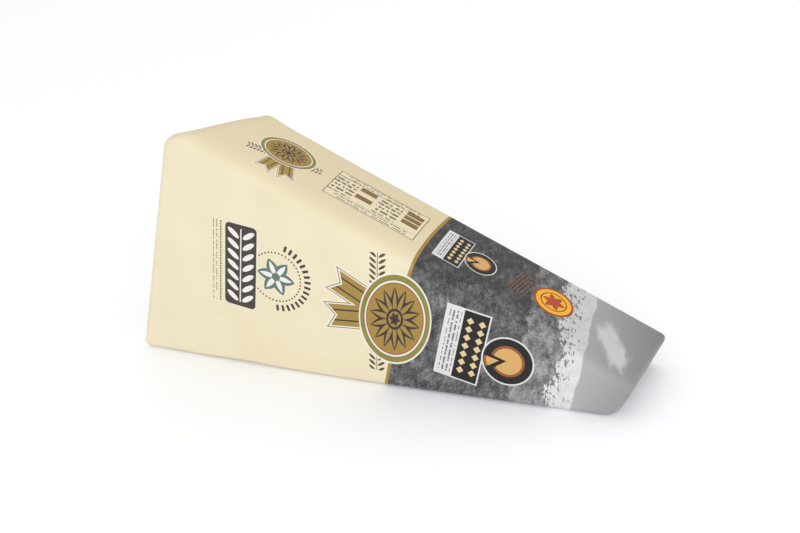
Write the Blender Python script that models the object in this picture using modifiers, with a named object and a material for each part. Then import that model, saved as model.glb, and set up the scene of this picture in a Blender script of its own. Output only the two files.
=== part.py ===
"""A wedge of hard cheese in a shut paper wrapper, lying on its lower cut side.

The wedge is a slice of a wheel. Its front and back are the flat faces of the slice, the tip is to
the right, and the rind end is to the left. The wrapper lies tight on the cheese, so the two make
one closed body with soft, rounded folds.
"""
import math

import bmesh
import bpy
from mathutils import Vector

# Driving dimensions, in metres and degrees
WHEEL_RADIUS = 0.2067      # from the rind end to the point where the two cut sides would meet
WEDGE_ANGLE = 25.9         # between the two cut sides
BASE_LENGTH = 0.1722       # lower cut side along the front, from the rind end to the blunt tip
THICKNESS = 0.0348         # between the front and the back
RIND_LEAN = 16.4           # how far the rind end leans towards the tip, seen from the front
RIND_SLANT = 27.5          # how far the rind end turns towards the tip at the back, seen from above
TIP_LEAN = 31.0            # how far the blunt tip leans outwards, seen from the front
TIP_SLANT = 6.0            # how far the blunt tip turns outwards at the back, seen from above

# How far the wrapper's rounding reaches from each fold, named by the two faces that meet there
PLAIN_ROUND = 0.0021
FOLD_ROUNDS = {
    frozenset(("front", "top")): 0.0045,
    frozenset(("rind", "top")): 0.0090,
    frozenset(("rind", "front")): 0.0026,
    frozenset(("rind", "back")): 0.0030,
    frozenset(("tip", "base")): 0.0060,
}
ROUND_SEGMENTS = 6

# How far the wrapped faces swell out of flat
SIDE_SWELL = 0.0022        # front and back, along the lower edge
SIDE_SWELL_TOP = 0.15      # share of that swell left at the upper fold
TOP_SWELL = 0.0008         # upper cut side, at its middle
SLICE_STEP = 0.0085        # spacing of the edge loops that carry the swell

PAPER_COLOUR = (0.84, 0.76, 0.58, 1.0)
PAPER_ROUGHNESS = 0.45
SMOOTH_UP_TO = 35.0        # edges bent by less than this many degrees are shaded smooth


def clear_scene():
    for thing in list(bpy.data.objects):
        bpy.data.objects.remove(thing, do_unlink=True)


def upper_corner(foot_x, lean):
    """Where an end that starts at foot_x and leans towards +X meets the upper cut side."""
    slope = math.tan(math.radians(WEDGE_ANGLE))
    tilt = math.tan(math.radians(lean))
    height = (WHEEL_RADIUS - foot_x) * slope / (1 + tilt * slope)
    return foot_x + height * tilt, height


def corner(faces):
    """The corner where three faces meet, measured from the lower front corner of the rind end."""
    depth = THICKNESS if "back" in faces else 0.0
    slant = TIP_SLANT if "tip" in faces else RIND_SLANT
    foot_x = depth * math.tan(math.radians(slant))
    if "tip" in faces:
        foot_x += BASE_LENGTH
    if "base" in faces:
        return Vector((foot_x, depth, 0.0))
    x, z = upper_corner(foot_x, TIP_LEAN if "tip" in faces else RIND_LEAN)
    return Vector((x, depth, z))


def faces_at(place):
    """Names the three faces that meet at a corner of the starting cube."""
    return {
        "tip" if place.x > 0 else "rind",
        "back" if place.y > 0 else "front",
        "top" if place.z > 0 else "base",
    }


def rounded_wedge():
    """The cube's corners move to the wedge's, and each fold is rounded."""
    bm = bmesh.new()
    bmesh.ops.create_cube(bm, size=2.0)
    meeting = {vert: faces_at(vert.co) for vert in bm.verts}
    widest = max(FOLD_ROUNDS.values())
    weights = bm.edges.layers.float.new("bevel_weight_edge")
    for edge in bm.edges:
        shared = frozenset(meeting[edge.verts[0]] & meeting[edge.verts[1]])
        edge[weights] = FOLD_ROUNDS.get(shared, PLAIN_ROUND) / widest
    for vert in bm.verts:
        vert.co = corner(meeting[vert])
    mesh = bpy.data.meshes.new("wedge")
    bm.to_mesh(mesh)
    bm.free()
    body = bpy.data.objects.new("wrapped_wedge", mesh)
    bevel = body.modifiers.new("folds", "BEVEL")
    bevel.limit_method = "WEIGHT"
    bevel.width = widest
    bevel.segments = ROUND_SEGMENTS
    bevel.use_clamp_overlap = False
    return body


def apply_modifiers(body):
    bpy.context.view_layer.update()
    evaluated = body.evaluated_get(bpy.context.evaluated_depsgraph_get())
    mesh = bpy.data.meshes.new_from_object(evaluated)
    body.modifiers.clear()
    body.data = mesh


def cut_into_strips(bm, length, height):
    """Cuts edge loops across the flat faces, so that they can swell."""
    for axis, span in (("x", length), ("y", THICKNESS), ("z", height)):
        direction = Vector([float(name == axis) for name in "xyz"])
        count = round(span / SLICE_STEP)
        for index in range(1, count):
            everything = bm.verts[:] + bm.edges[:] + bm.faces[:]
            place = direction * span * index / count
            bmesh.ops.bisect_plane(bm, geom=everything, plane_co=place, plane_no=direction)


def swollen(position, length):
    """Where a point of the flat-sided wedge lies once the paper swells over the cheese."""
    middle = THICKNESS / 2
    angle = math.radians(WEDGE_ANGLE)
    height = min(1.0, position.z / ((WHEEL_RADIUS - position.x) * math.tan(angle)))
    along = min(1.0, max(0.0, position.x / length))
    arch = 1 - (2 * along - 1) ** 2
    outwards = (position.y - middle) / middle
    side = SIDE_SWELL * arch * (1 - (1 - SIDE_SWELL_TOP) * height)
    lift = TOP_SWELL * arch * max(0.0, 1 - outwards ** 2) * height ** 2
    return position + Vector((lift * math.sin(angle), side * outwards, lift * math.cos(angle)))


def swell(mesh):
    length = upper_corner(BASE_LENGTH, TIP_LEAN)[0]
    height = upper_corner(0.0, RIND_LEAN)[1]
    bm = bmesh.new()
    bm.from_mesh(mesh)
    cut_into_strips(bm, length, height)
    for vert in bm.verts:
        vert.co = swollen(vert.co, length)
    bm.normal_update()
    bm.to_mesh(mesh)
    bm.free()


def stand_on_centre(mesh):
    """Moves the mesh so that its box stands on the origin, and returns the move."""
    lows = Vector([min(vert.co[axis] for vert in mesh.vertices) for axis in range(3)])
    highs = Vector([max(vert.co[axis] for vert in mesh.vertices) for axis in range(3)])
    move = -(lows + highs) / 2
    move.z = -lows.z
    for vert in mesh.vertices:
        vert.co += move
    return move


def paper_material():
    material = bpy.data.materials.new("wrapping_paper")
    material.use_nodes = True
    shader = material.node_tree.nodes["Principled BSDF"]
    shader.inputs["Base Color"].default_value = PAPER_COLOUR
    shader.inputs["Roughness"].default_value = PAPER_ROUGHNESS
    shader.inputs["Metallic"].default_value = 0.0
    return material


clear_scene()
pack = bpy.data.collections.new("cheese_wedge_pack")
bpy.context.scene.collection.children.link(pack)
wedge = rounded_wedge()
pack.objects.link(wedge)
apply_modifiers(wedge)
swell(wedge.data)
centring_move = stand_on_centre(wedge.data)
wedge.data.materials.append(paper_material())
wedge.data.shade_smooth()
wedge.data.set_sharp_from_angle(angle=math.radians(SMOOTH_UP_TO))
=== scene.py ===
"""Looks of a wedge of hard cheese in a shut, printed paper wrapper, lying on its lower cut side."""

import math

import bmesh
import bpy
import numpy as np
from mathutils import Matrix, Vector, noise


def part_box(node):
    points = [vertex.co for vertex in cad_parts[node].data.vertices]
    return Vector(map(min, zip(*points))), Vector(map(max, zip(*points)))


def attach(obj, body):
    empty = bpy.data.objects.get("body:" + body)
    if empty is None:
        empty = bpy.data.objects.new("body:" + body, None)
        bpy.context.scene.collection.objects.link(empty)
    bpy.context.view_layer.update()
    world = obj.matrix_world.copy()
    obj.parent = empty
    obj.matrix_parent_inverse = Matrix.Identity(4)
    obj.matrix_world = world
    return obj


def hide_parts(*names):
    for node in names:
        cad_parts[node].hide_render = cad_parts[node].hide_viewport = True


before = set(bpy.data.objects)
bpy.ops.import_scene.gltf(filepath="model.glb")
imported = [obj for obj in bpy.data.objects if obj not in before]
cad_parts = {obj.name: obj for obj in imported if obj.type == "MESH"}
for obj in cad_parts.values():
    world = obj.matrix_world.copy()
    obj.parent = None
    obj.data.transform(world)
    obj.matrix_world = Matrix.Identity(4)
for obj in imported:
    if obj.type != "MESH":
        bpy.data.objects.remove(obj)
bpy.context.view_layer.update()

# The wrapper
# A sheet of satin-coated paper, printed in colour, folded tight over the wedge of cheese. Its long
# edges lap and are glued under the pack, and its ends are tucked in and folded over one another.
MM = 0.001
wedge_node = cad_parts["wrapped_wedge"]
low_corner, high_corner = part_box("wrapped_wedge")

MESH_CELL = 0.65 * MM            # fine enough for a paper edge, under 200,000 triangles
SMOOTHING_PASSES = 4
SOFT_FOLD_PASSES = 50            # the fold between front and top is rounder along its middle
BUMPS_EVERY = (58.0, 24.0)       # mm between the soft high and low places of the cheese below
BUMPS_DEEP = (0.12, 0.06)        # mm
LAYER_STEP = 0.34                # mm, one more layer of paper with its glue
LAYER_EDGE = 0.3                 # mm, half the width of the slope at a layer's edge
FLAP_SINKS = 9.0                 # mm from its fold to where a flap lies at its own depth
FLAP_LAP = 0.6                   # share of an end's width that its outermost flap covers


def smoothly(value, start, end):
    """0 before start, 1 after end, and an even slope between them."""
    share = np.clip((value - start) / (end - start), 0, 1)
    return share * share * (3 - 2 * share)


def positions(mesh):
    """Where the vertices lie, in millimetres, and which way they face."""
    places = np.empty(len(mesh.vertices) * 3, np.float32)
    mesh.vertices.foreach_get("co", places)
    normals = np.empty(len(mesh.vertices) * 3, np.float32)
    mesh.vertex_normals.foreach_get("vector", normals)
    return places.reshape(-1, 3).astype(float) / MM, normals.reshape(-1, 3).astype(float)


def apply_modifiers(piece):
    evaluated = piece.evaluated_get(bpy.context.evaluated_depsgraph_get())
    piece.data = bpy.data.meshes.new_from_object(evaluated)
    piece.modifiers.clear()


def smooth_faces(piece, passes, weights=None):
    """Averages each vertex with its neighbours, everywhere or as far as the weights say."""
    smooth = piece.modifiers.new("smooth", "SMOOTH")
    smooth.factor = 0.5
    smooth.iterations = passes
    if weights is not None:
        group = piece.vertex_groups.new(name="soft")
        for index in np.flatnonzero(weights > 0.01):
            group.add([int(index)], float(weights[index]), "REPLACE")
        smooth.vertex_group = "soft"
    apply_modifiers(piece)
    piece.vertex_groups.clear()


def fine_copy(node):
    """The CAD solid as a closed mesh of small even faces, with its facets smoothed away."""
    mesh = node.data.copy()
    bm = bmesh.new()
    bm.from_mesh(mesh)
    bmesh.ops.remove_doubles(bm, verts=bm.verts, dist=0.001 * MM)
    bm.to_mesh(mesh)
    bm.free()
    piece = bpy.data.objects.new("paper_wrapper", mesh)
    bpy.context.scene.collection.objects.link(piece)
    remesh = piece.modifiers.new("even faces", "REMESH")
    remesh.mode = "VOXEL"
    remesh.voxel_size = MESH_CELL
    apply_modifiers(piece)
    smooth_faces(piece, SMOOTHING_PASSES)
    return piece


# The wedge's own lines, in millimetres and degrees: its angle, its corners in the side view, and how
# its two ends are turned
WEDGE_ANGLE = math.radians(25.9)  # between the two cut sides
SIDE = 17.4                       # from the middle of the pack to its front and back folds
RIND_HEAD, RIND_HEAD_BACK = (-65.9, 87.8), (-50.0, 80.1)  # x and z at the front and at the back
TIP_FOOT, TIP_FOOT_BACK = (80.5, 0.0), (84.1, 0.0)
TIP_HEAD = (88.2, 13.0)
RIND_LEAN, RIND_SLANT = math.radians(16.4), math.radians(27.5)
TIP_LEAN, TIP_SLANT = math.radians(31.0), math.radians(6.0)
RIND_DROP, TIP_DROP = 0.22, 0.04  # how much lower each end's head is at the back, per mm of thickness

wrapper = fine_copy(wedge_node)
places, outwards = positions(wrapper.data)
FOLD_REACH = (9.0, 15.0)         # mm from the fold, where its softness starts to fade and is gone
SOFT_FROM, SOFT_UNTIL = (-72, -20), (50, 80)  # mm along the pack, where it fades in and out
top_height = RIND_HEAD[1] - (places[:, 0] - RIND_HEAD[0]) * math.tan(WEDGE_ANGLE)
below_top = (top_height - places[:, 2]) * math.cos(WEDGE_ANGLE)
from_fold = np.hypot(below_top, places[:, 1] + SIDE)
softness = 1 - smoothly(from_fold, *FOLD_REACH)
softness *= smoothly(places[:, 0], *SOFT_FROM) * (1 - smoothly(places[:, 0], *SOFT_UNTIL))
smooth_faces(wrapper, SOFT_FOLD_PASSES, softness)

# Where a vertex counts as being on an end or on the underside: the cosine of the angle between its
# normal and the face's own
ON_END, ON_UNDERSIDE = (0.92, 0.98), (0.93, 0.99)


def folded_end(across, up, width, height, lap):
    """How many layers below the outermost one an end's surface lies. The end is folded like a
    parcel's: first the two short flaps, then the far long flap, and over it the near one, as far as
    lap. Each flap sinks away from its own fold. across and up are in the plane of the end."""
    from_end = np.minimum(up, height - up)
    near_flap = smoothly(from_end - across, -LAYER_EDGE, LAYER_EDGE)
    near_flap *= 1 - smoothly(across, lap - LAYER_EDGE, lap + LAYER_EDGE)
    far_flap = smoothly(from_end - (width - across), -LAYER_EDGE, LAYER_EDGE)
    below = 2 * smoothly(from_end, 0, FLAP_SINKS)
    below += far_flap * (smoothly(width - across, 0, FLAP_SINKS) - below)
    return below * (1 - near_flap)


def end_recess(side, lean, slant, head_height, drop, long_sideways):
    """How far inside the solid an end's surface lies, in millimetres. side is -1 for the rind end and
    1 for the tip."""
    facing = side * np.array((math.cos(slant), -math.sin(slant), -math.tan(lean) * math.cos(slant)))
    facing /= np.linalg.norm(facing)
    on_end = smoothly(outwards @ facing, *ON_END)
    width = 2 * SIDE / math.cos(slant)
    height = head_height / math.cos(lean)
    across = (places[:, 1] + SIDE) / math.cos(slant)
    up = places[:, 2] / math.cos(lean) / (1 - (places[:, 1] + SIDE) * drop / head_height)
    if long_sideways:
        across, up, width, height = up, across, height, width
    return on_end * LAYER_STEP * folded_end(across, up, width, height, width * FLAP_LAP)


places, outwards = positions(wrapper.data)
dents = np.zeros(len(places))
for spacing, depth in zip(BUMPS_EVERY, BUMPS_DEEP):
    dents += [depth * (0.5 + 0.5 * noise.noise(Vector(place) / spacing)) for place in places]
dents += end_recess(-1, RIND_LEAN, RIND_SLANT, RIND_HEAD[1], RIND_DROP, False)
dents += end_recess(1, TIP_LEAN, TIP_SLANT, TIP_HEAD[1], TIP_DROP, True)

# Under the pack one long edge of the sheet lies over the other, in a strip that reaches to both ends.
LAP_EDGE, LAP_START = 4.0, -8.0  # mm from the middle of the pack
LAP_SLOPE = 2.5                  # mm, half the width of the soft slope at the covered edge
WAVE_DEEP, WAVE_EVERY = 0.4, 23.0  # mm, how far from straight the sheet's edge was laid
strip_edge = places[:, 1] + WAVE_DEEP * np.sin(places[:, 0] / WAVE_EVERY)
in_strip = smoothly(strip_edge, LAP_START - LAP_SLOPE, LAP_START + LAP_SLOPE)
in_strip *= 1 - smoothly(strip_edge, LAP_EDGE - LAYER_EDGE, LAP_EDGE + LAYER_EDGE)
underneath = smoothly(-outwards[:, 2], *ON_UNDERSIDE)
dents += underneath * LAYER_STEP * (1 - in_strip)

places -= outwards * dents[:, None]


def reach_from_line(start, end):
    """How far each vertex lies from a straight line between two places, and how far along it is."""
    start, end = np.array(start), np.array(end)
    share = (places - start) @ (end - start) / ((end - start) @ (end - start))
    return np.linalg.norm(places - start - share[:, None] * (end - start), axis=1), share


# The rind end's upper fold is crisper towards the back than in the solid, with the top a little fuller
# next to it, and the tip's foot is crisper too. Reaches and moves are in millimetres.
CRISP_REACH, CRISP_MOVE = (3.0, 12.0), (-0.3, 0.1, 1.0)
FULL_REACH, FULL_MOVE = (6.0, 40.0), (0.15, 0.0, 0.45)
FOOT_REACH, FOOT_MOVE = (2.0, 9.0), (1.1, 0.0, -0.3)
FACES_UP = (0.3, 0.9)            # upward share of the normal, from the fold to the top
OFF_THE_BASE = (-0.5, 1.5)       # mm above the table
PAST_THE_FRONT = (0.1, 1.0)      # share of the way from the front fold to the back one
reach, share = reach_from_line((RIND_HEAD[0], -SIDE, RIND_HEAD[1]),
                               (RIND_HEAD_BACK[0], SIDE, RIND_HEAD_BACK[1]))
towards_back = smoothly(share, *PAST_THE_FRONT)
crisper = (1 - smoothly(reach, *CRISP_REACH)) * towards_back
places += crisper[:, None] * np.array(CRISP_MOVE)
fuller = (1 - smoothly(reach, *FULL_REACH)) * towards_back * smoothly(outwards[:, 2], *FACES_UP)
places += fuller[:, None] * np.array(FULL_MOVE)
reach, share = reach_from_line((TIP_FOOT[0], -SIDE, TIP_FOOT[1]),
                               (TIP_FOOT_BACK[0], SIDE, TIP_FOOT_BACK[1]))
crisper = (1 - smoothly(reach, *FOOT_REACH)) * smoothly(places[:, 2], *OFF_THE_BASE)
places += crisper[:, None] * np.array(FOOT_MOVE)

# The lower front fold stands a little off the table, most of all in one place near the rind end.
LIFT, LOCAL_LIFT = 0.15, 0.5     # mm
LIFT_PLACE, LIFT_REACH = -49.0, 9.0  # mm along the pack
LIFT_START, LIFT_END = (-88, -70), (68, 78)  # mm along the pack, where it fades in and out
LIFT_INWARDS = (-SIDE + 3.0, LAP_START - LAP_SLOPE)  # it fades out from the fold to the lap strip
LIFT_UPWARDS = (0.5, 5.0)        # mm above the table, where it fades out up the front
lift = LIFT + LOCAL_LIFT * np.exp(-((places[:, 0] - LIFT_PLACE) / LIFT_REACH) ** 2)
lift *= 1 - smoothly(places[:, 1], *LIFT_INWARDS)
lift *= 1 - smoothly(places[:, 2], *LIFT_UPWARDS)
lift *= smoothly(places[:, 0], *LIFT_START) * (1 - smoothly(places[:, 0], *LIFT_END))
places[:, 2] += lift

# All of it stays inside the solid's own box.
lowest, highest = np.array(low_corner) / MM, np.array(high_corner) / MM
places = np.clip(places, lowest, highest)
wrapper.data.vertices.foreach_set("co", (places * MM).astype(np.float32).ravel())
wrapper.data.shade_smooth()
wrapper.data.update()


def linear(hex_colour):
    """An sRGB hex colour as the linear values that a shader takes."""
    parts = [int(hex_colour[i:i + 2], 16) / 255 for i in (1, 3, 5)]
    return [c / 12.92 if c <= 0.04045 else ((c + 0.055) / 1.055) ** 2.4 for c in parts] + [1.0]


def add_node(material, kind, inputs=None, **settings):
    """Adds a node of that kind with its settings, and fills its sockets with values or links."""
    tree = material.node_tree
    node = tree.nodes.new("ShaderNode" + kind)
    for name, value in settings.items():
        setattr(node, name, value)
    for socket, value in (inputs or {}).items():
        if isinstance(value, bpy.types.NodeSocket):
            tree.links.new(value, node.inputs[socket])
        else:
            node.inputs[socket].default_value = value
    return node


# Satin-coated paper, printed on a press: a smooth sheet with a soft sheen that hides its fibres. The
# inks lie flat on it and share its sheen, apart from the gold, which has fine metal in it.
paper = bpy.data.materials.new("satin_coated_paper")
paper.use_nodes = True
paper_shader = paper.node_tree.nodes["Principled BSDF"]

# The print was drawn on the flat sheet. Its own axes run along the wedge's middle, a towards the tip
# and b across it, and the sheet then folds over the upper edge to the top and down the back.
ART_TURN = math.radians(14.0)     # between the lower edge and the print's axis
FACES_TOP = 0.5                   # upward share of the normal from which a spot is on the top

coordinates = add_node(paper, "TexCoord")
place = add_node(paper, "VectorMath", {0: coordinates.outputs["Object"], "Scale": 1 / MM},
                 operation="SCALE").outputs["Vector"]
x, y, z = add_node(paper, "SeparateXYZ", {0: place}).outputs
over_the_fold = add_node(paper, "MapRange", {
    "Value": y, "From Min": -SIDE, "From Max": SIDE,
    "To Min": 0.0, "To Max": 2 * SIDE}).outputs["Result"]
unrolled = add_node(paper, "CombineXYZ", {0: x, 1: over_the_fold, 2: z}).outputs[0]


def art_axes(spot):
    """The print's own two coordinates of a spot on the unrolled sheet."""
    rest = WEDGE_ANGLE - ART_TURN
    along = (math.cos(ART_TURN), math.sin(rest), -math.sin(ART_TURN))
    across = (math.sin(ART_TURN), math.cos(rest), math.cos(ART_TURN))
    return [add_node(paper, "VectorMath", {0: spot, 1: axis}, operation="DOT_PRODUCT").outputs["Value"]
            for axis in (along, across)]


field_a, field_b = art_axes(unrolled)
face_spot = add_node(paper, "VectorMath", {0: place, 1: (1.0, 0.0, 1.0)}, operation="MULTIPLY").outputs[0]
side_a, side_b = art_axes(face_spot)
side_sheet = add_node(paper, "CombineXYZ", {0: side_a, 1: side_b}).outputs[0]
along_top = add_node(paper, "Math", {0: x, 1: math.cos(WEDGE_ANGLE)}, operation="DIVIDE").outputs[0]
top_sheet = add_node(paper, "CombineXYZ", {0: along_top, 1: y}).outputs[0]
facing = add_node(paper, "SeparateXYZ", {0: coordinates.outputs["Normal"]}).outputs
on_top = add_node(paper, "Math", {0: facing[2], 1: FACES_TOP}, operation="GREATER_THAN").outputs[0]


def ink_over(below, mask, ink):
    """Prints an ink, given as a hex colour or a socket, over what lies below, where the mask is 1."""
    colour = ink if isinstance(ink, bpy.types.NodeSocket) else linear(ink)
    return add_node(paper, "Mix", {0: mask, 6: below, 7: colour}, data_type="RGBA").outputs[2]


def both(*masks):
    """Where all the masks are 1."""
    joint = masks[0]
    for mask in masks[1:]:
        joint = add_node(paper, "Math", {0: joint, 1: mask}, operation="MULTIPLY").outputs[0]
    return joint


def mottle(spot, size, detail, low, high, roughness=0.5):
    """Soft random patches about size millimetres wide, as a value between low and high."""
    patches = add_node(paper, "TexNoise", {"Vector": spot, "Scale": 1 / size, "Detail": detail,
                                           "Roughness": roughness})
    return add_node(paper, "MapRange", {"Value": patches.outputs["Fac"], "From Min": 0.3, "From Max": 0.7,
                                        "To Min": low, "To Max": high}).outputs["Result"]


# The fields of colour: bare cream paper by the rind end, a gold line, a slate grey field with the
# mottling of stone, a pale band flecked like frost, and a mid-grey tip with soft pale wisps in it.

# Painted shade: the cream is painted a little duller and yellower on the top, more so past the fold, for the
# top's lesser light.
TOP_FROM, TOP_FULLY = 0.35, 0.88  # upward share of the normal, where the top's tone starts and is whole
cloudy = mottle(place, 14.0, 3.0, 0.0, 1.0)
print_colour = add_node(paper, "Mix", {0: cloudy, 6: linear("#EFE3C1"), 7: linear("#F3E8C9")},
                        data_type="RGBA").outputs[2]
up = add_node(paper, "MapRange", {"Value": facing[2], "From Min": TOP_FROM, "From Max": TOP_FULLY,
                                  "To Min": 0.0, "To Max": 1.0}).outputs["Result"]
past_fold = add_node(paper, "MapRange", {"Value": y, "From Min": -SIDE + 3.0, "From Max": 5.0,
                                         "To Min": 0.6, "To Max": 1.0}).outputs["Result"]
# Painted shade of the top, in the cream
painted_top_shade = add_node(paper, "Math", {0: up, 1: past_fold}, operation="MULTIPLY").outputs[0]
print_colour = ink_over(print_colour, painted_top_shade, "#E9D9B3")

# The border runs straight across the side and bends towards the tip on its way over the top.
BORDER_PLACE = 4.6                # mm along the print's axis
BEND_START = 30.0                 # mm across the print, where the bend begins
BORDER_BEND = 0.003               # how fast it grows, per mm
bend_start = add_node(paper, "Math", {0: field_b, 1: BEND_START}, operation="SUBTRACT").outputs[0]
bend_reach = add_node(paper, "Math", {0: bend_start, 1: 0.0}, operation="MAXIMUM").outputs[0]
bend_square = add_node(paper, "Math", {0: bend_reach, 1: bend_reach}, operation="MULTIPLY").outputs[0]
border = add_node(paper, "Math", {0: bend_square, 1: BORDER_BEND, 2: BORDER_PLACE},
                  operation="MULTIPLY_ADD").outputs[0]
past_border = add_node(paper, "Math", {0: field_a, 1: border}, operation="SUBTRACT").outputs[0]

# The slate: blotches, streaks in one direction, veins in another and fine grain are added up, and a ramp
# turns the sum into greys. Past a ragged line near the band it is a tone lighter. On its way over the top it
# is taken lower on the ramp, as painted shade for the top's lesser light. The scratches are long thin pale
# marks.
STREAK_TURN, VEIN_TURN = math.radians(9.0), math.radians(-32.0)
STREAK_STRETCH, VEIN_STRETCH, SCRATCH_STRETCH = 0.36, 2.2, 0.18
STONE_CONTRAST = 0.62
TONE_PLACE, TONE_STEP = 45.1, 0.34  # mm along the print's axis, and share of the ramp
field_sheet = add_node(paper, "CombineXYZ", {0: field_a, 1: field_b}).outputs[0]
grain_turn = add_node(paper, "Mapping", {"Vector": field_sheet, "Rotation": (0.0, 0.0, STREAK_TURN)},
                      vector_type="TEXTURE").outputs[0]
streaked = add_node(paper, "VectorMath", {0: grain_turn, 1: (1.0, STREAK_STRETCH, 1.0)},
                    operation="MULTIPLY").outputs[0]
crossed = add_node(paper, "Mapping", {"Vector": field_sheet, "Rotation": (0.0, 0.0, VEIN_TURN),
                                      "Scale": (1.0, VEIN_STRETCH, 1.0)}, vector_type="TEXTURE").outputs[0]
blotches = mottle(grain_turn, 8.0, 6.0, -0.45, 0.45, 0.66)
streaks = mottle(streaked, 2.0, 6.0, -0.5, 0.5, 0.7)
veins = mottle(crossed, 2.6, 5.0, -0.35, 0.35, 0.66)
grain = mottle(field_sheet, 0.8, 3.0, -0.35, 0.35, 0.6)
stone = streaks
for layer in (blotches, veins, grain):
    stone = add_node(paper, "Math", {0: stone, 1: layer}, operation="ADD").outputs[0]
ragged = mottle(field_sheet, 11.0, 6.0, -1.4, 1.4, 0.6)
tone_edge = add_node(paper, "Math", {0: field_a, 1: ragged}, operation="ADD").outputs[0]
slate_tone = add_node(paper, "MapRange", {
    "Value": tone_edge, "From Min": TONE_PLACE - 0.3, "From Max": TONE_PLACE + 0.3,
    "To Min": 0.0, "To Max": TONE_STEP}).outputs["Result"]
slate_place = add_node(paper, "Math", {0: stone, 1: STONE_CONTRAST, 2: slate_tone},
                       operation="MULTIPLY_ADD").outputs[0]
# Painted shade: the slate steps down the ramp from the side onto the top.
slate_top_shade = add_node(paper, "MapRange", {"Value": field_b, "From Min": 40.0, "From Max": 54.0,
                                        "To Min": 0.33, "To Max": 0.05}).outputs["Result"]
slate_place = add_node(paper, "Math", {0: slate_place, 1: slate_top_shade}, operation="ADD").outputs[0]
slate = add_node(paper, "ValToRGB", {0: slate_place})
ramp = slate.color_ramp
ramp.elements[0].position, ramp.elements[0].color = 0.0, linear("#3A3A3A")
ramp.elements[1].position, ramp.elements[1].color = 1.0, linear("#ACACAC")
middle = ramp.elements.new(0.4)
middle.color = linear("#666666")
drawn_out = add_node(paper, "VectorMath", {0: field_sheet, 1: (1.0, SCRATCH_STRETCH, 1.0)},
                     operation="MULTIPLY").outputs[0]
scratches = mottle(drawn_out, 0.9, 4.0, 0.0, 1.0, 0.7)
scratch = add_node(paper, "MapRange", {"Value": scratches, "From Min": 0.86, "From Max": 1.0,
                                       "To Min": 0.0, "To Max": 0.55}).outputs["Result"]
in_slate = add_node(paper, "Math", {0: past_border, 1: 0.5}, operation="GREATER_THAN").outputs[0]
print_colour = ink_over(print_colour, in_slate, slate.outputs["Color"])
print_colour = ink_over(print_colour, both(scratch, in_slate), "#A4A4A4")

# The pale band: a ragged edge on the slate's side, and dark flecks that thin out towards the tip.
BAND_PLACE = 56.5                 # mm along the print's axis
fleck_edge = mottle(field_sheet, 10.0, 8.0, -3.8, 3.8, 0.68)
band_left = add_node(paper, "Math", {0: field_a, 1: fleck_edge}, operation="ADD").outputs[0]
in_band = add_node(paper, "MapRange", {
    "Value": band_left, "From Min": BAND_PLACE - 0.2, "From Max": BAND_PLACE + 0.2,
    "To Min": 0.0, "To Max": 1.0}).outputs["Result"]
flecks = mottle(streaked, 1.0, 3.0, 0.0, 1.0, 0.7)
fleck_reach = add_node(paper, "MapRange", {
    "Value": band_left, "From Min": BAND_PLACE - 0.5, "From Max": BAND_PLACE + 7.5,
    "To Min": 0.42, "To Max": 0.92}).outputs["Result"]
fleck = add_node(paper, "Math", {0: flecks, 1: fleck_reach}, operation="GREATER_THAN").outputs[0]
frost = mottle(field_sheet, 3.0, 5.0, 0.0, 1.0)
frost_colour = add_node(paper, "Mix", {0: frost, 6: linear("#D8D8D8"), 7: linear("#EAEAEA")},
                        data_type="RGBA").outputs[2]
frost_colour = ink_over(frost_colour, fleck, "#7A7A7A")
print_colour = ink_over(print_colour, in_band, frost_colour)

# The tip: paler next to the band, and one soft patch torn into wisps.
TIP_PLACE, TIP_SLOPE = 63.45, 0.045  # mm along the print's axis, and how far its edge leans off square
TIP_END = 88.0
WISP_PLACE, WISP_TURN = (73.6, 49.0, 0.0), math.radians(14.0)
WISP_SIZE = (6.4, 17.0, 1.0)      # mm from its middle to its edge
soft_edge = mottle(field_sheet, 14.0, 3.0, -0.8, 0.8)
tip_edge = add_node(paper, "Math", {0: field_b, 1: -TIP_SLOPE, 2: field_a},
                    operation="MULTIPLY_ADD").outputs[0]
tip_edge = add_node(paper, "Math", {0: tip_edge, 1: soft_edge}, operation="ADD").outputs[0]
in_tip = add_node(paper, "MapRange", {
    "Value": tip_edge, "From Min": TIP_PLACE - 0.25, "From Max": TIP_PLACE + 0.25,
    "To Min": 0.0, "To Max": 1.0}).outputs["Result"]
tip_shade = add_node(paper, "MapRange", {
    "Value": tip_edge, "From Min": TIP_PLACE - 0.95, "From Max": TIP_END,
    "To Min": 0.0, "To Max": 1.0}).outputs["Result"]
tip_colour = add_node(paper, "Mix", {0: tip_shade, 6: linear("#B6B6B6"), 7: linear("#868686")},
                      data_type="RGBA").outputs[2]
wisp_spot = add_node(paper, "Mapping", {
    "Vector": field_sheet, "Location": WISP_PLACE, "Rotation": (0.0, 0.0, WISP_TURN),
    "Scale": WISP_SIZE}, vector_type="TEXTURE").outputs[0]
wisp_reach = add_node(paper, "VectorMath", {0: wisp_spot}, operation="LENGTH").outputs["Value"]
wisp_window = add_node(paper, "MapRange", {"Value": wisp_reach, "From Min": 1.1, "From Max": 0.35,
                                           "To Min": -0.6, "To Max": 0.75}).outputs["Result"]
wisp_torn = mottle(wisp_spot, 0.7, 6.0, -0.5, 0.5, 0.6)
wisp_cover = add_node(paper, "Math", {0: wisp_window, 1: wisp_torn}, operation="ADD").outputs[0]
in_wisps = add_node(paper, "MapRange", {"Value": wisp_cover, "From Min": -0.1, "From Max": 0.7,
                                        "To Min": 0.0, "To Max": 0.9},
                    interpolation_type="SMOOTHSTEP").outputs["Result"]
tip_colour = ink_over(tip_colour, in_wisps, "#E4E4E4")
print_colour = ink_over(print_colour, in_tip, tip_colour)

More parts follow.
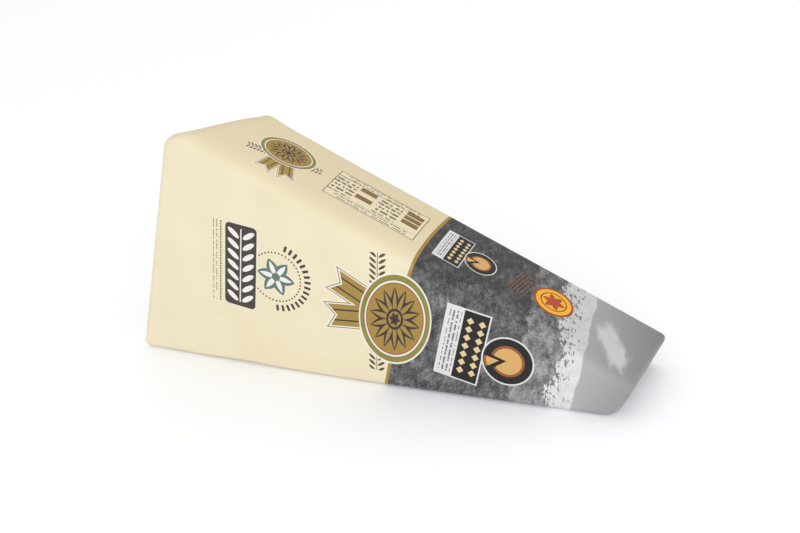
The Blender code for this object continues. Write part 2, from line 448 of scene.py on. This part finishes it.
# Painted shade: band and tip are painted a little lower in tone where they face up, for the top's lesser
# light.
TOP_SHADE_SHARE = 0.2
band_top_shade = add_node(paper, "Math", {0: up, 1: TOP_SHADE_SHARE}, operation="MULTIPLY").outputs[0]
print_colour = ink_over(print_colour, both(band_top_shade, in_band), "#6E6E6E")

# The inks that several motifs share, and the gold line along the border
GOLD_LINE = 1.1                   # mm wide
DOT_RADIUS = 0.32                 # mm, for the ring and the row of dots
GOLD = "#AD8F48"
WHITE = "#F1EFE6"
BROWN = "#473A3B"
TEAL = "#5F7B76"
on_border = add_node(paper, "Math", {0: past_border, 1: 0.0, 2: GOLD_LINE / 2},
                     operation="COMPARE").outputs[0]
print_colour = ink_over(print_colour, on_border, GOLD)
gold_ink = on_border


def laid(sheet, centre, turn=0.0, scale=1.0):
    """Millimetres from a motif's own centre, along its own axes, on a sheet."""
    return add_node(paper, "Mapping", {
        "Vector": sheet, "Location": (*centre, 0.0), "Rotation": (0.0, 0.0, math.radians(turn)),
        "Scale": (scale, scale, scale)}, vector_type="TEXTURE").outputs[0]


def disc(spot, radius, centre=(0.0, 0.0)):
    reach = add_node(paper, "VectorMath", {0: spot, 1: (*centre, 0.0)}, operation="DISTANCE")
    return add_node(paper, "Math", {0: reach.outputs["Value"], 1: radius}, operation="LESS_THAN").outputs[0]


def bar(spot, centre, size, corner=0.2):
    """A rectangle with rounded corners."""
    half = (size[0] / 2 - corner, size[1] / 2 - corner, 1.0)
    apart = add_node(paper, "VectorMath", {0: spot, 1: (*centre, 0.0)}, operation="SUBTRACT").outputs[0]
    folded = add_node(paper, "VectorMath", {0: apart}, operation="ABSOLUTE").outputs[0]
    past = add_node(paper, "VectorMath", {0: folded, 1: half}, operation="SUBTRACT").outputs[0]
    past = add_node(paper, "VectorMath", {0: past, 1: (0.0, 0.0, 0.0)}, operation="MAXIMUM").outputs[0]
    reach = add_node(paper, "VectorMath", {0: past}, operation="LENGTH").outputs["Value"]
    return add_node(paper, "Math", {0: reach, 1: corner}, operation="LESS_THAN").outputs[0]


def turned(spot, count):
    """Distance from the centre, and angle from the nearest of count even directions."""
    reach = add_node(paper, "VectorMath", {0: spot}, operation="LENGTH").outputs["Value"]
    parts = add_node(paper, "SeparateXYZ", {0: spot}).outputs
    angle = add_node(paper, "Math", {0: parts[1], 1: parts[0]}, operation="ARCTAN2").outputs[0]
    aside = add_node(paper, "Math", {0: angle, 1: math.pi / count}, operation="PINGPONG").outputs[0]
    return reach, aside


def petals(spot, count, length, width):
    """Pointed petals that start at the centre."""
    reach, aside = turned(spot, count)
    away = add_node(paper, "Math", {0: reach, 1: aside}, operation="MULTIPLY").outputs[0]
    phase = add_node(paper, "Math", {0: reach, 1: math.pi / length}, operation="MULTIPLY").outputs[0]
    swell = add_node(paper, "Math", {0: phase}, operation="SINE").outputs[0]
    edge = add_node(paper, "Math", {0: swell, 1: width / 2}, operation="MULTIPLY").outputs[0]
    narrow = add_node(paper, "Math", {0: away, 1: edge}, operation="LESS_THAN").outputs[0]
    return both(narrow, disc(spot, length))


def dotted_ring(spot, radius, count, dot):
    reach, aside = turned(spot, count)
    away = add_node(paper, "Math", {0: reach, 1: aside}, operation="MULTIPLY").outputs[0]
    off = add_node(paper, "Math", {0: reach, 1: radius}, operation="SUBTRACT").outputs[0]
    pair = add_node(paper, "CombineXYZ", {0: away, 1: off}).outputs[0]
    return disc(pair, dot)


def rays(spot, radius, count, size):
    """Short bars that point away from the centre, on a circle of that radius."""
    reach, aside = turned(spot, count)
    away = add_node(paper, "Math", {0: reach, 1: aside}, operation="MULTIPLY").outputs[0]
    pair = add_node(paper, "CombineXYZ", {0: away, 1: reach}).outputs[0]
    return bar(pair, (0.0, radius), size, 0.3)


def dots(spot, offset, length, pitch, dot):
    """A row of dots along b."""
    parts = add_node(paper, "SeparateXYZ", {0: spot}).outputs
    step = add_node(paper, "Math", {0: parts[1], 1: pitch / 2}, operation="PINGPONG").outputs[0]
    cell = add_node(paper, "CombineXYZ", {0: parts[0], 1: step}).outputs[0]
    return both(disc(cell, dot, (offset, 0.0)), bar(spot, (offset, 0.0), (1.0, length)))


LEAF_TURN = math.radians(38.0)    # between a leaf and a line square to its stem


def garland(spot, length, pitch, leaf):
    """A stem along b with a pair of slanting leaves at each pitch. leaf is their length and width."""
    parts = add_node(paper, "SeparateXYZ", {0: spot}).outputs
    aside = add_node(paper, "Math", {0: parts[0]}, operation="ABSOLUTE").outputs[0]
    step = add_node(paper, "Math", {0: parts[1], 1: pitch / 2, 2: -pitch / 2}, operation="WRAP").outputs[0]
    cell = add_node(paper, "CombineXYZ", {0: aside, 1: step}).outputs[0]
    blade = add_node(paper, "Mapping", {
        "Vector": cell, "Location": (leaf[0] * 0.55, 0.0, 0.0), "Rotation": (0.0, 0.0, LEAF_TURN),
        "Scale": (leaf[0] / 2, leaf[1] / 2, 1.0)}, vector_type="TEXTURE").outputs[0]
    stem = add_node(paper, "Math", {0: aside, 1: leaf[1] * 0.12}, operation="LESS_THAN").outputs[0]
    shape = add_node(paper, "Math", {0: disc(blade, 1.0), 1: stem}, operation="MAXIMUM").outputs[0]
    return both(shape, bar(spot, (0.0, 0.0), (leaf[0] * 3, length)))


LOZENGE_SHARE = 0.84              # of its cell's width and length, the rest is the gap to the next


def lozenges(spot, length, pitch, width):
    """A row of lozenges along b."""
    parts = add_node(paper, "SeparateXYZ", {0: spot}).outputs
    aside = add_node(paper, "Math", {0: parts[0]}, operation="ABSOLUTE").outputs[0]
    step = add_node(paper, "Math", {0: parts[1], 1: pitch / 2}, operation="PINGPONG").outputs[0]
    edge = add_node(paper, "Math", {0: step, 1: width / pitch, 2: aside}, operation="MULTIPLY_ADD").outputs[0]
    shape = add_node(paper, "Math", {0: edge, 1: width / 2 * LOZENGE_SHARE},
                     operation="LESS_THAN").outputs[0]
    return both(shape, bar(spot, (0.0, 0.0), (width * 2, length)))


ROW_GAP = 0.28                    # share of the pitch, from a gap's middle to the row of dashes
DASH_GAPS = 0.46                  # value of the noise under which a row has a gap
DASHES_PER_MM = 0.9


def fine_dashes(spot, size, rows):
    """Rows of fine uneven dashes that fill a rectangle, as small print looks from a step away."""
    parts = add_node(paper, "SeparateXYZ", {0: spot}).outputs
    pitch = size[1] / rows
    row = add_node(paper, "Math", {0: parts[1], 1: pitch}, operation="SNAP").outputs[0]
    lift = add_node(paper, "Math", {0: parts[1], 1: pitch / 2}, operation="PINGPONG").outputs[0]
    line = add_node(paper, "Math", {0: lift, 1: pitch * ROW_GAP}, operation="GREATER_THAN").outputs[0]
    cell = add_node(paper, "CombineXYZ", {0: parts[0], 1: row}).outputs[0]
    lengths = add_node(paper, "TexNoise", {"Vector": cell, "Scale": DASHES_PER_MM, "Detail": 2.0})
    dash = add_node(paper, "Math", {0: lengths.outputs["Fac"], 1: DASH_GAPS},
                    operation="GREATER_THAN").outputs[0]
    return both(line, dash, bar(spot, (0.0, 0.0), size))


# A teal flower in a dotted ring with short rays round it, and over its edge a brown panel with a
# garland. Beyond the panel run a row of dots and a line of fine dashes. Places and sizes of all the
# motifs are in millimetres, and turns in degrees.
FLOWER_PLACE, FLOWER_PETALS = (-39.4, 27.6), 6
RAYS_RADIUS, RAY_SIZE, RING_RADIUS = 11.6, (0.95, 2.3), 9.0
PANEL_PLACE, PANEL_TURN = (-52.5, 26.8), 5.0
PANEL_WIDTH, PANEL_LENGTH, PANEL_CORNER = 11.6, 31.0, 1.6
PANEL_RIM = 1.0                   # counted on both sides
DOTS_ASIDE, THIN_STRIP_ASIDE = -7.5, -9.6  # from the panel's middle
flower = laid(side_sheet, FLOWER_PLACE)
to_the_right = add_node(paper, "SeparateXYZ", {0: flower}).outputs[0]
right_half = add_node(paper, "Math", {0: to_the_right, 1: 1.0}, operation="GREATER_THAN").outputs[0]
print_colour = ink_over(print_colour, both(rays(flower, RAYS_RADIUS, 36, RAY_SIZE), right_half), BROWN)
print_colour = ink_over(print_colour, dotted_ring(flower, RING_RADIUS, 44, DOT_RADIUS), BROWN)
print_colour = ink_over(print_colour, petals(flower, FLOWER_PETALS, 7.0, 4.4), TEAL)
print_colour = ink_over(print_colour, petals(flower, FLOWER_PETALS, 6.0, 1.8), WHITE)
print_colour = ink_over(print_colour, disc(flower, 1.5), TEAL)
panel = laid(side_sheet, PANEL_PLACE, PANEL_TURN)
for rim, ink in ((PANEL_RIM, "#EFE9D2"), (0.0, BROWN)):
    shape = bar(panel, (0.0, 0.0), (PANEL_WIDTH + rim, PANEL_LENGTH + rim), PANEL_CORNER)
    print_colour = ink_over(print_colour, shape, ink)
print_colour = ink_over(print_colour, garland(panel, 28.0, 4.0, (5.1, 1.85)), WHITE)
print_colour = ink_over(print_colour, dots(panel, DOTS_ASIDE, PANEL_LENGTH, 1.0, DOT_RADIUS), BROWN)
thin_strip = laid(panel, (THIN_STRIP_ASIDE, 0.0), 90.0)
print_colour = ink_over(print_colour, fine_dashes(thin_strip, (PANEL_LENGTH, 1.5), 1), "#8F9887")

# A gold oval rosette with two ribbon tails over a fine sprig, on the sides and smaller on the top.
SIDE_ROSETTE_PLACE = (3.4, 27.8)
TOP_ROSETTE_PLACE, TOP_ROSETTE_TURN, TOP_ROSETTE_SCALE = (-35.4, 1.6), 95.0, 0.6
TAIL_TURN = 163.0                 # from the rosette's own axis to a ribbon tail
OVAL_PETALS = 14
big_rosette = laid(side_sheet, SIDE_ROSETTE_PLACE)
small_rosette = laid(top_sheet, TOP_ROSETTE_PLACE, TOP_ROSETTE_TURN, TOP_ROSETTE_SCALE)
rosette = add_node(paper, "Mix", {0: on_top, 4: big_rosette, 5: small_rosette},
                   data_type="VECTOR").outputs[1]
sprig = laid(rosette, (-6.2, 0.0), 9.0)
print_colour = ink_over(print_colour, garland(sprig, 43.0, 2.1, (2.9, 0.95)), "#5B4C40")
parts = add_node(paper, "SeparateXYZ", {0: rosette}).outputs
to_one_side = add_node(paper, "Math", {0: parts[1]}, operation="ABSOLUTE").outputs[0]
mirrored = add_node(paper, "CombineXYZ", {0: parts[0], 1: to_one_side}).outputs[0]
tail = laid(mirrored, (0.0, 0.0), TAIL_TURN)
tail_parts = add_node(paper, "SeparateXYZ", {0: tail}).outputs
tail_side = add_node(paper, "Math", {0: tail_parts[1]}, operation="ABSOLUTE").outputs[0]
NOTCH_SLOPE, NOTCH_DEEP = 0.75, 3.0  # of the V cut into a ribbon's end
notched = add_node(paper, "Math", {0: tail_side, 1: -NOTCH_SLOPE, 2: tail_parts[0]},
                   operation="MULTIPLY_ADD").outputs[0]
ahead = add_node(paper, "Math", {0: tail_parts[0], 1: 0.0}, operation="GREATER_THAN").outputs[0]
for half_width, reach, ink in ((5.3, 25.0, WHITE), (4.8, 24.4, GOLD), (4.4, 23.9, WHITE),
                               (4.0, 23.3, GOLD)):
    narrow = add_node(paper, "Math", {0: tail_side, 1: half_width}, operation="LESS_THAN").outputs[0]
    short = add_node(paper, "Math", {0: notched, 1: reach - NOTCH_DEEP}, operation="LESS_THAN").outputs[0]
    ribbon = both(narrow, short, ahead)
    print_colour = ink_over(print_colour, ribbon, ink)
pleats = add_node(paper, "Math", {0: tail_side, 1: 1.9, 2: 0.28}, operation="COMPARE").outputs[0]
print_colour = ink_over(print_colour, both(pleats, ribbon), BROWN)
gold_ink = add_node(paper, "Math", {0: gold_ink, 1: ribbon}, operation="MAXIMUM").outputs[0]
OVAL_WIDE, OVAL_HIGH = 12.4, 17.0  # mm, half the sizes of the oval, here laid out as a disc
OVAL_RADIUS, GOLD_RADIUS = 14.6, 11.2
oval = add_node(paper, "VectorMath", {0: rosette, 1: (OVAL_RADIUS / OVAL_WIDE, OVAL_RADIUS / OVAL_HIGH, 1.0)},
                operation="MULTIPLY").outputs[0]
for radius, ink in ((OVAL_RADIUS, WHITE), (14.0, "#96893F"), (12.6, "#6F8C4A"), (12.2, WHITE),
                    (11.6, "#B9543A"), (GOLD_RADIUS, GOLD)):
    print_colour = ink_over(print_colour, disc(oval, radius), ink)
gold_field = disc(oval, GOLD_RADIUS)
gold_ink = add_node(paper, "Math", {0: gold_ink, 1: gold_field}, operation="MAXIMUM").outputs[0]
print_colour = ink_over(print_colour, petals(oval, OVAL_PETALS, 10.2, 3.3), BROWN)
print_colour = ink_over(print_colour, petals(oval, OVAL_PETALS, 9.6, 1.5), GOLD)
print_colour = ink_over(print_colour, disc(oval, 3.4), BROWN)
print_colour = ink_over(print_colour, disc(oval, 2.5), GOLD)
print_colour = ink_over(print_colour, petals(oval, 6, 2.3, 1.4), BROWN)

# A dark label with rows of lozenges, a pale strip of fine dashes, and a disc with a cut cheese in it.
SIDE_LABEL_PLACE = (29.4, 27.2)
TOP_LABEL_PLACE, TOP_LABEL_SCALE = (29.4, -0.4), 0.645
LABEL_PALE, LABEL_DARK = "#E4E4E2", "#1D1A1A"
DISC_PLACE, DISC_RIM, DISC_RADIUS = (12.8, -0.4), 8.7, 8.15
RIND_RADIUS, PASTE_RADIUS = 5.6, 4.7
SLICE_MOVE = (-2.3, -0.7)         # how far the cut slice is pulled out of the wheel
big_label = laid(side_sheet, SIDE_LABEL_PLACE)
small_label = laid(top_sheet, TOP_LABEL_PLACE, 0.0, TOP_LABEL_SCALE)
label = add_node(paper, "Mix", {0: on_top, 4: big_label, 5: small_label}, data_type="VECTOR").outputs[1]
print_colour = ink_over(print_colour, bar(label, (-2.6, 0.0), (15.0, 26.4)), LABEL_PALE)
print_colour = ink_over(print_colour, bar(label, (0.2, 0.0), (8.4, 25.4)), LABEL_DARK)
strip = laid(label, (-6.7, 0.0), 90.0)
print_colour = ink_over(print_colour, fine_dashes(strip, (23.0, 4.0), 3), "#77757A")
for offset in (-1.6, 2.4):
    row = laid(label, (offset, 0.0))
    print_colour = ink_over(print_colour, lozenges(row, 22.0, 3.1, 3.0), "#E6CF9C")
wheel = laid(label, DISC_PLACE)
print_colour = ink_over(print_colour, disc(wheel, DISC_RIM), LABEL_PALE)
print_colour = ink_over(print_colour, disc(wheel, DISC_RADIUS), LABEL_DARK)
CUT_TIP, CUT_TURN = (-0.4, 0.0), 200.0  # where the slice's tip lies, and which way the slice points
from_cut = turned(laid(wheel, CUT_TIP, CUT_TURN), 1)[1]
in_cut = add_node(paper, "Math", {0: from_cut, 1: math.radians(27.0)}, operation="LESS_THAN").outputs[0]
uncut = add_node(paper, "Math", {0: 1.0, 1: in_cut}, operation="SUBTRACT").outputs[0]
pulled_out = laid(wheel, SLICE_MOVE)
from_slice = turned(laid(pulled_out, CUT_TIP, CUT_TURN), 1)[1]
in_slice = add_node(paper, "Math", {0: from_slice, 1: math.radians(24.0)}, operation="LESS_THAN").outputs[0]
for spot, part_of in ((wheel, uncut), (pulled_out, in_slice)):
    print_colour = ink_over(print_colour, both(disc(spot, RIND_RADIUS), part_of), "#9A5A2B")
    print_colour = ink_over(print_colour, both(disc(spot, PASTE_RADIUS), part_of), "#DDAF69")

# On the top: a ruled table with brown cells, a few lines of fine brown dashes, and an amber seal.
TABLE_PLACE, TABLE_SIZE = (-1.2, 0.1), (33.6, 16.0)
TABLE_LINE = 0.5                  # counted on both sides
NOTE_PLACE, NOTE_TURN, NOTE_SIZE = (52.4, 1.0), 80.0, (12.0, 7.0)
SEAL_PLACE, SEAL_RED, SEAL_AMBER = (63.8, 0.5), "#A84C1C", "#FCBA26"
table = laid(top_sheet, TABLE_PLACE)
print_colour = ink_over(print_colour, both(bar(table, (0.0, 0.0), TABLE_SIZE), on_top), "#5A4632")
inside = bar(table, (0.0, 0.0), [side - TABLE_LINE for side in TABLE_SIZE])
print_colour = ink_over(print_colour, both(inside, on_top), "#F0E4C3")
for column, rows in ((-4.5, (3.9, -1.0)), (12.6, (4.7, 1.9, -0.9))):
    for height in rows:
        cell = both(bar(table, (column, height), (6.0, 2.3)), on_top)
        print_colour = ink_over(print_colour, cell, "#8A6A3A")
for column in (-12.5, 4.0):
    dashes = fine_dashes(laid(table, (column, 0.6)), (8.2, 10.0), 5)
    print_colour = ink_over(print_colour, both(dashes, on_top), "#6B5A45")
for height in (5.2, 2.6, -4.9):
    rule = both(bar(table, (0.0, height), (33.0, 0.14), 0.05), on_top)
    print_colour = ink_over(print_colour, rule, "#A08C68")
for height in (6.6, -6.4):
    dashes = fine_dashes(laid(table, (0.0, height)), (27.0, 1.6), 1)
    print_colour = ink_over(print_colour, both(dashes, on_top), "#4A3B30")
dashes = fine_dashes(laid(top_sheet, NOTE_PLACE, NOTE_TURN), NOTE_SIZE, 6)
print_colour = ink_over(print_colour, both(dashes, on_top), "#7C5A41")
seal = laid(top_sheet, SEAL_PLACE)
for radius, ink in ((6.9, SEAL_RED), (6.1, SEAL_AMBER), (4.6, SEAL_RED), (4.1, SEAL_AMBER)):
    print_colour = ink_over(print_colour, both(disc(seal, radius), on_top), ink)
print_colour = ink_over(print_colour, both(petals(seal, 6, 4.0, 2.2), on_top), "#B84A2C")

# The colours above are as they look on the bright pack. The sheet itself gives back less light.
LIGHT_LOST = 0.12
ROUGHNESS_FROM, ROUGHNESS_TO = 0.40, 0.50  # satin, a little uneven
GOLD_SMOOTHER, GOLD_METALLIC = 0.10, 0.35
sheet_colour = ink_over(print_colour, LIGHT_LOST, "#000000")
paper.node_tree.links.new(sheet_colour, paper_shader.inputs["Base Color"])
sheen = mottle(place, 9.0, 3.0, ROUGHNESS_FROM, ROUGHNESS_TO)
sheen = add_node(paper, "Math", {0: gold_ink, 1: -GOLD_SMOOTHER, 2: sheen},
                 operation="MULTIPLY_ADD").outputs[0]
paper.node_tree.links.new(sheen, paper_shader.inputs["Roughness"])
metal = add_node(paper, "Math", {0: gold_ink, 1: GOLD_METALLIC}, operation="MULTIPLY").outputs[0]
paper.node_tree.links.new(metal, paper_shader.inputs["Metallic"])
paper_shader.inputs["IOR"].default_value = 1.4

# The fibres of real paper are 0.03 mm wide. They are drawn at 0.4 mm, so that they show. Wider
# crinkles lie under them.
FIBRE_WIDE, CRINKLE_WIDE, TOOTH_DEEP = 0.4, 6.0, 0.008  # mm
fibres = mottle(place, FIBRE_WIDE, 4.0, 0.0, 1.0, 0.6)
crinkles = mottle(place, CRINKLE_WIDE, 3.0, 0.0, 3.0)
tooth = add_node(paper, "Math", {0: fibres, 1: crinkles}, operation="ADD").outputs[0]
bump = add_node(paper, "Bump", {"Height": tooth, "Strength": 1.0, "Distance": TOOTH_DEEP * MM})
paper.node_tree.links.new(bump.outputs["Normal"], paper_shader.inputs["Normal"])

wrapper.data.materials.clear()
wrapper.data.materials.append(paper)
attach(wrapper, "root")
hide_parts("wrapped_wedge")

# The table and the light
# A plain white sweep, lit by large soft lamps as in a product photograph.
floor_mesh = bpy.data.meshes.new("floor")
FLOOR_REACH = 6.0
corners = [(-FLOOR_REACH, -FLOOR_REACH, 0), (FLOOR_REACH, -FLOOR_REACH, 0),
           (FLOOR_REACH, FLOOR_REACH, 0), (-FLOOR_REACH, FLOOR_REACH, 0)]
floor_mesh.from_pydata(corners, [], [(0, 1, 2, 3)])
floor = bpy.data.objects.new("floor", floor_mesh)
bpy.context.scene.collection.objects.link(floor)
card = bpy.data.materials.new("white_card")
card.use_nodes = True
card_shader = card.node_tree.nodes["Principled BSDF"]
card_shader.inputs["Base Color"].default_value = linear("#FCFDFF")
card_shader.inputs["Roughness"].default_value = 0.9
card_shader.inputs["Emission Color"].default_value = linear("#F0F4FF")
card_shader.inputs["Emission Strength"].default_value = 0.09
floor_mesh.materials.append(card)

world = bpy.data.worlds.new("studio")
world.use_nodes = True
world.node_tree.nodes["Background"].inputs["Color"].default_value = linear("#FEFDFC")
world.node_tree.nodes["Background"].inputs["Strength"].default_value = 0.76
bpy.context.scene.world = world
bpy.context.scene.view_settings.view_transform = "Standard"


def soft_lamp(name, place, size, watts, tint):
    """A large square lamp at that place, in metres, turned towards the pack."""
    lamp = bpy.data.lights.new(name, "AREA")
    lamp.shape = "SQUARE"
    lamp.size = size
    lamp.energy = watts
    lamp.color = linear(tint)[:3]
    holder = bpy.data.objects.new(name, lamp)
    holder.location = place
    holder.rotation_mode = "QUATERNION"
    holder.rotation_quaternion = (-Vector(place)).to_track_quat("-Z", "Y")
    holder.visible_camera = False
    bpy.context.scene.collection.objects.link(holder)


soft_lamp("front_lamp", (0.5, -1.35, 0.6), 1.3, 8.3, "#F8FAFF")
soft_lamp("top_lamp", (0.0, 0.6, 1.35), 1.2, 2.9, "#FFFDFA")
soft_lamp("side_lamp", (1.3, -0.4, 0.5), 1.0, 1.9, "#FFFDFA")

# The camera
# It stands to the front and right of the pack, looking down at its two printed faces.
CAMERA_PLACE = (0.16378, -0.34680, 0.23341)
LENS = 58.5                      # mm, on a sensor 36 mm wide
AZIMUTH = 24.58                  # degrees from +Y towards -X
DOWN = 27.47                     # degrees below the horizon
ROLL = -5.32                     # degrees about the line of sight

aside, below = math.radians(AZIMUTH), math.radians(DOWN)
line_of_sight = Vector((-math.sin(aside) * math.cos(below), math.cos(aside) * math.cos(below),
                        -math.sin(below)))
camera_data = bpy.data.cameras.new("camera")
camera_data.lens = LENS
camera_data.sensor_width = 36.0
camera = bpy.data.objects.new("camera", camera_data)
level = line_of_sight.to_track_quat("-Z", "Y").to_matrix().to_4x4()
turn = Matrix.Rotation(math.radians(ROLL), 4, "Z")
camera.matrix_world = Matrix.Translation(CAMERA_PLACE) @ level @ turn
bpy.context.scene.collection.objects.link(camera)
bpy.context.scene.camera = camera
